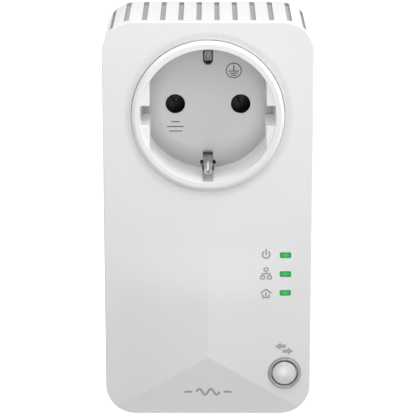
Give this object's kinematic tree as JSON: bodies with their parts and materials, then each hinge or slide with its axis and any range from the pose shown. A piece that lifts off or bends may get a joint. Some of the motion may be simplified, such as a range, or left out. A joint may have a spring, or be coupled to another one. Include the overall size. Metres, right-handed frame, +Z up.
{
  "type": "powerline adapter",
  "caption": "White plug-in powerline adapter with an earthed pass-through socket in its front, green status windows, a round pairing button and a network jack.",
  "frame": {"origin": "centre of the plug's end face, on the axis midway between its pins", "axes": "+Y towards the wall along the pins, +Z up, +X to the right seen from the front"},
  "size_m": [0.06, 0.0688, 0.1175],
  "materials": {
    "white_shell": "fine moulded satin white",
    "socket_plastic": "smooth satin white",
    "carrier_plastic": "matt off-white",
    "shutter_black": "black acetal",
    "contact_steel": "stamped spring steel",
    "brass": "stamped brass",
    "nickel": "nickel plated",
    "screw_steel": "zinc plated",
    "window_green": "translucent green, lit",
    "led_body": "clear resin on white",
    "button_satin": "satin silver",
    "bezel_grey": "satin mid grey",
    "board_green": "solder resist",
    "chip_black": "moulded epoxy",
    "aluminium": "plain extruded",
    "capacitor_sleeve": "shrunk sleeve",
    "film_yellow": "potted box",
    "varistor_blue": "dipped coating",
    "ferrite": "ferrite",
    "tape_yellow": "polyester tape",
    "glass": "clear tube with metal caps",
    "label_silver": "blank printed foil"
  },
  "bodies": {
    "root": {"front_cover": "white_shell", "rear_housing": "white_shell", "socket_well": "socket_plastic", "socket_carrier": "carrier_plastic", "plug_body": "socket_plastic", "shutter_spring": "contact_steel", "earth_bridge": "contact_steel", "line_sleeve": "brass", "neutral_sleeve": "brass", "insert_screw_1": "screw_steel", "insert_screw_2": "screw_steel", "line_pin": "nickel", "neutral_pin": "nickel", "plug_earth_strip_upper": "contact_steel", "plug_earth_strip_lower": "contact_steel", "line_busbar": "brass", "neutral_busbar": "brass", "power_window": "window_green", "network_window": "window_green", "lan_window": "window_green", "power_led": "led_body", "network_led": "led_body", "lan_led": "led_body", "button_bezel": "bezel_grey", "tact_switch": "chip_black", "main_board": "board_green", "power_board": "board_green", "board_header": "chip_black", "powerline_chip": "chip_black", "chip_heatsink": "aluminium", "memory_chip": "chip_black", "crystal": "nickel", "lan_transformer": "chip_black", "rj45_jack": "nickel", "fuse": "glass", "varistor": "varistor_blue", "x2_capacitor": "film_yellow", "common_mode_choke": "ferrite", "bridge_rectifier": "chip_black", "bulk_capacitor": "capacitor_sleeve", "output_capacitor": "capacitor_sleeve", "power_transformer": "tape_yellow", "coupling_transformer": "ferrite", "housing_screw_1": "screw_steel", "housing_screw_2": "screw_steel", "housing_screw_3": "screw_steel", "housing_screw_4": "screw_steel", "rating_label": "label_silver"},
    "pair_button": {"pair_button": "button_satin", "switch_plunger": "chip_black"},
    "safety_shutter": {"safety_shutter": "shutter_black"},
    "earth_clip_upper": {"earth_clip_upper": "contact_steel"},
    "earth_clip_lower": {"earth_clip_lower": "contact_steel"}
  },
  "joints": [
    {"name": "button_press", "type": "slide", "parent": "root", "child": "pair_button", "axis": [0, 1, 0], "range_m": [0, 0.0008], "stiffness_N_per_m": 1500},
    {"name": "shutter_turn", "type": "hinge", "parent": "root", "child": "safety_shutter", "pos_m": [0, -0.0291, 0], "axis": [0, 1, 0], "range_deg": [0, 42], "stiffness_Nm_per_rad": 0.002},
    {"name": "earth_clip_upper_flex", "type": "hinge", "parent": "root", "child": "earth_clip_upper", "pos_m": [0, -0.0299, 0.0189], "axis": [-1, 0, 0], "range_deg": [0, 4], "stiffness_Nm_per_rad": 0.3},
    {"name": "earth_clip_lower_flex", "type": "hinge", "parent": "root", "child": "earth_clip_lower", "pos_m": [0, -0.0299, -0.0189], "axis": [1, 0, 0], "range_deg": [0, 4], "stiffness_Nm_per_rad": 0.3}
  ]
}
